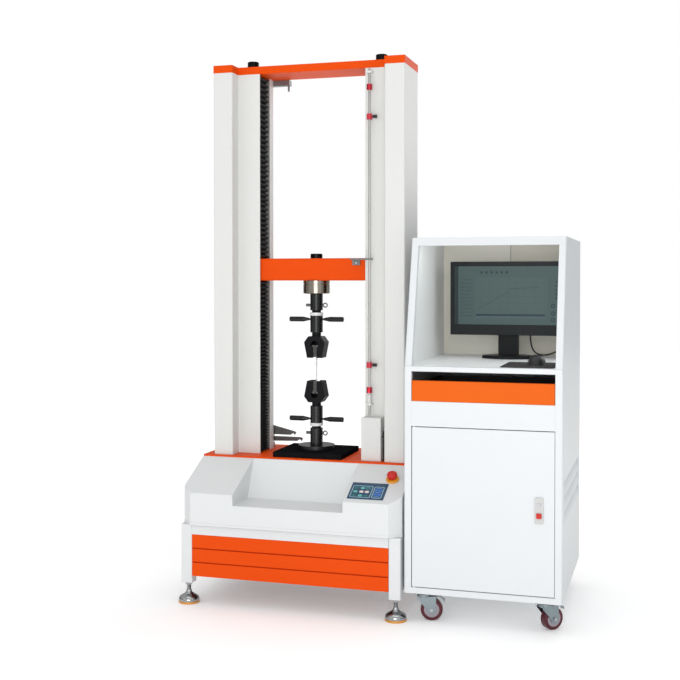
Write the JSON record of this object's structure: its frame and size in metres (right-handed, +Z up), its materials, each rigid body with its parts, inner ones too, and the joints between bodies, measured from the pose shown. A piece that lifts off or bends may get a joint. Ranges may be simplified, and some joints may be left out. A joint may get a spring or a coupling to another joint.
{
  "type": "universal testing machine",
  "caption": "Floor standing testing machine with slotted columns, a moving crosshead with load cell, wedge grips and a limit rod, beside a wheeled control cabinet with a monitor.",
  "frame": {"origin": "centre of the set's footprint on the floor", "axes": "+X to the operator's right, +Y to the back, +Z up"},
  "size_m": [1.4469, 0.756, 2.112],
  "materials": {
    "white_paint": "satin powder coat",
    "orange_paint": "satin powder coat",
    "black_oxide": "black oxide",
    "bright_steel": "ground",
    "bearing_steel": "machined",
    "foot_chrome": "plated",
    "extensometer_alloy": "anodised",
    "bellows_cloth": "coated cloth",
    "black_plastic": "moulded",
    "red_plastic": "moulded",
    "yellow_plastic": "moulded",
    "blue_membrane": "printed film",
    "belt_rubber": "moulded",
    "wheel_urethane": "cast urethane"
  },
  "bodies": {
    "load_frame": {"base_frame": "white_paint", "base_panels": "white_paint", "console_cover": "white_paint", "column_cover_left": "white_paint", "column_cover_right": "white_paint", "cabinet_body": "white_paint", "limit_switch_box": "white_paint", "skirt_panel": "orange_paint", "worktable": "orange_paint", "top_beam": "orange_paint", "table_plate": "black_oxide", "lower_post": "black_oxide", "lower_grip_body": "black_oxide", "guide_columns": "bright_steel", "screw_bearings": "bearing_steel", "levelling_feet": "foot_chrome", "extensometer_mast": "extensometer_alloy", "bellows_upper": "bellows_cloth", "bellows_lower": "bellows_cloth", "servo_motor": "black_plastic", "monitor_stand": "black_plastic", "estop_base": "yellow_plastic", "control_panel": "blue_membrane", "drive_belt": "belt_rubber", "sensor_cable": "belt_rubber", "monitor_lead": "belt_rubber"},
    "crosshead": {"crosshead_beam": "orange_paint", "crosshead_nuts": "bright_steel", "limit_striker": "bearing_steel", "load_cell": "bright_steel", "upper_adapter": "black_oxide", "upper_grip_body": "black_oxide"},
    "ball_screw_left": {"ball_screw_left": "bright_steel"},
    "ball_screw_right": {"ball_screw_right": "bright_steel"},
    "motor_pulley": {"motor_pulley": "bearing_steel"},
    "upper_handle": {"upper_handle": "black_oxide"},
    "upper_jaw_left": {"upper_jaw_left": "bright_steel"},
    "upper_jaw_right": {"upper_jaw_right": "bright_steel"},
    "lower_handle": {"lower_handle": "black_oxide"},
    "lower_jaw_left": {"lower_jaw_left": "bright_steel"},
    "lower_jaw_right": {"lower_jaw_right": "bright_steel"},
    "upper_lock_pin": {"upper_lock_pin": "bright_steel"},
    "lower_lock_pin": {"lower_lock_pin": "bright_steel"},
    "limit_rod": {"limit_rod": "bright_steel"},
    "limit_collar_upper": {"limit_collar_upper": "red_plastic"},
    "limit_collar_lower": {"limit_collar_lower": "red_plastic"},
    "estop_button": {"estop_button": "red_plastic"},
    "extensometer_arms": {"extensometer_arms": "extensometer_alloy"},
    "cabinet_door": {"cabinet_door": "white_paint"},
    "door_lock": {"door_lock": "red_plastic"},
    "keyboard_drawer": {"keyboard_drawer": "orange_paint"},
    "monitor_panel": {"monitor_panel": "black_plastic"},
    "caster_fork_front_left": {"caster_fork_front_left": "foot_chrome"},
    "caster_wheel_front_left": {"caster_wheel_front_left": "wheel_urethane"},
    "caster_fork_front_right": {"caster_fork_front_right": "foot_chrome"},
    "caster_wheel_front_right": {"caster_wheel_front_right": "wheel_urethane"},
    "caster_fork_rear_left": {"caster_fork_rear_left": "foot_chrome"},
    "caster_wheel_rear_left": {"caster_wheel_rear_left": "wheel_urethane"},
    "caster_fork_rear_right": {"caster_fork_rear_right": "foot_chrome"},
    "caster_wheel_rear_right": {"caster_wheel_rear_right": "wheel_urethane"}
  },
  "joints": [
    {"name": "crosshead_slide", "type": "slide", "parent": "load_frame", "child": "crosshead", "axis": [0, 0, 1], "range_m": [-0.06, 0.45], "deforming": ["bellows_upper", "bellows_lower"]},
    {"name": "ball_screw_left_turn", "type": "hinge", "parent": "load_frame", "child": "ball_screw_left", "pos_m": [-0.6145, -0.01, 0.5], "axis": [0, 0, 1], "range_deg": [-16220, 2180]},
    {"name": "ball_screw_right_turn", "type": "hinge", "parent": "load_frame", "child": "ball_screw_right", "pos_m": [0.0615, -0.01, 0.5], "axis": [0, 0, 1], "range_deg": [-16220, 2180]},
    {"name": "motor_turn", "type": "hinge", "parent": "load_frame", "child": "motor_pulley", "pos_m": [-0.2765, -0.09, 0.45], "axis": [0, 0, 1], "range_deg": [-24320, 3260]},
    {"name": "upper_handle_turn", "type": "hinge", "parent": "crosshead", "child": "upper_handle", "pos_m": [-0.2765, -0.01, 1.077], "axis": [0, 0, 1], "range_deg": [0, 1350]},
    {"name": "upper_jaw_left_slide", "type": "slide", "parent": "crosshead", "child": "upper_jaw_left", "axis": [-0.2079, 0, 0.9781], "range_m": [0, 0.01501]},
    {"name": "upper_jaw_right_slide", "type": "slide", "parent": "crosshead", "child": "upper_jaw_right", "axis": [0.2079, 0, 0.9781], "range_m": [0, 0.01501]},
    {"name": "upper_pin_pull", "type": "slide", "parent": "crosshead", "child": "upper_lock_pin", "axis": [1, 0, 0], "range_m": [0, 0.09]},
    {"name": "lower_handle_turn", "type": "hinge", "parent": "load_frame", "child": "lower_handle", "pos_m": [-0.2765, -0.01, 0.677], "axis": [0, 0, 1], "range_deg": [0, 1350]},
    {"name": "lower_jaw_left_slide", "type": "slide", "parent": "load_frame", "child": "lower_jaw_left", "axis": [-0.2079, 0, -0.9781], "range_m": [0, 0.01501]},
    {"name": "lower_jaw_right_slide", "type": "slide", "parent": "load_frame", "child": "lower_jaw_right", "axis": [0.2079, 0, -0.9781], "range_m": [0, 0.01501]},
    {"name": "lower_pin_pull", "type": "slide", "parent": "load_frame", "child": "lower_lock_pin", "axis": [1, 0, 0], "range_m": [0, 0.09]},
    {"name": "limit_rod_lift", "type": "slide", "parent": "load_frame", "child": "limit_rod", "axis": [0, 0, 1], "range_m": [-0.004, 0.004], "stiffness_N_per_m": 9000, "springref_m": 0.0008},
    {"name": "upper_collar_slide", "type": "slide", "parent": "limit_rod", "child": "limit_collar_upper", "axis": [0, 0, 1], "range_m": [-0.08, 0.09]},
    {"name": "lower_collar_slide", "type": "slide", "parent": "limit_rod", "child": "limit_collar_lower", "axis": [0, 0, 1], "range_m": [-0.07, 0.25]},
    {"name": "estop_push", "type": "slide", "parent": "load_frame", "child": "estop_button", "axis": [0, 0.4341, -0.9009], "range_m": [0, 0.005], "stiffness_N_per_m": 1500},
    {"name": "extensometer_slide", "type": "slide", "parent": "load_frame", "child": "extensometer_arms", "axis": [0, 0, 1], "range_m": [0, 0.9]},
    {"name": "door_swing", "type": "hinge", "parent": "load_frame", "child": "cabinet_door", "pos_m": [0.1975, -0.336, 0.4], "axis": [0, 0, -1], "range_deg": [0, 95]},
    {"name": "lock_push", "type": "slide", "parent": "cabinet_door", "child": "door_lock", "axis": [0, 1, 0], "range_m": [0, 0.003], "stiffness_N_per_m": 900},
    {"name": "drawer_slide", "type": "slide", "parent": "load_frame", "child": "keyboard_drawer", "axis": [0, -1, 0], "range_m": [0, 0.3]},
    {"name": "monitor_tilt", "type": "hinge", "parent": "load_frame", "child": "monitor_panel", "pos_m": [0.4585, 0.206, 1.16], "axis": [-1, 0, 0], "range_deg": [-3, 15]},
    {"name": "caster_swivel_front_left", "type": "hinge", "parent": "load_frame", "child": "caster_fork_front_left", "pos_m": [0.2255, -0.294, 0.09], "axis": [0, 0, 1], "continuous": true},
    {"name": "caster_roll_front_left", "type": "hinge", "parent": "caster_fork_front_left", "child": "caster_wheel_front_left", "pos_m": [0.25307, -0.28914, 0.04], "axis": [0.1736, -0.9848, 0], "continuous": true},
    {"name": "caster_swivel_front_right", "type": "hinge", "parent": "load_frame", "child": "caster_fork_front_right", "pos_m": [0.6615, -0.294, 0.09], "axis": [0, 0, 1], "continuous": true},
    {"name": "caster_roll_front_right", "type": "hinge", "parent": "caster_fork_front_right", "child": "caster_wheel_front_right", "pos_m": [0.68164, -0.27455, 0.04], "axis": [0.6947, -0.7193, 0], "continuous": true},
    {"name": "caster_swivel_rear_left", "type": "hinge", "parent": "load_frame", "child": "caster_fork_rear_left", "pos_m": [0.2255, 0.33, 0.09], "axis": [0, 0, 1], "continuous": true},
    {"name": "caster_roll_rear_left", "type": "hinge", "parent": "caster_fork_rear_left", "child": "caster_wheel_rear_left", "pos_m": [0.19792, 0.33486, 0.04], "axis": [0.1736, 0.9848, 0], "continuous": true},
    {"name": "caster_swivel_rear_right", "type": "hinge", "parent": "load_frame", "child": "caster_fork_rear_right", "pos_m": [0.6615, 0.33, 0.09], "axis": [0, 0, 1], "continuous": true},
    {"name": "caster_roll_rear_right", "type": "hinge", "parent": "caster_fork_rear_right", "child": "caster_wheel_rear_right", "pos_m": [0.63519, 0.32042, 0.04], "axis": [-0.342, 0.9397, 0], "continuous": true}
  ],
  "couplings": [
    {"joint": "ball_screw_left_turn", "follows": "crosshead_slide", "rad_per_m": -628.32},
    {"joint": "ball_screw_right_turn", "follows": "crosshead_slide", "rad_per_m": -628.32},
    {"joint": "motor_turn", "follows": "crosshead_slide", "rad_per_m": -942.48},
    {"joint": "upper_jaw_left_slide", "follows": "upper_handle_turn", "m_per_rad": 0.00063662},
    {"joint": "upper_jaw_right_slide", "follows": "upper_handle_turn", "m_per_rad": 0.00063662},
    {"joint": "lower_jaw_left_slide", "follows": "lower_handle_turn", "m_per_rad": 0.00063662},
    {"joint": "lower_jaw_right_slide", "follows": "lower_handle_turn", "m_per_rad": 0.00063662}
  ]
}
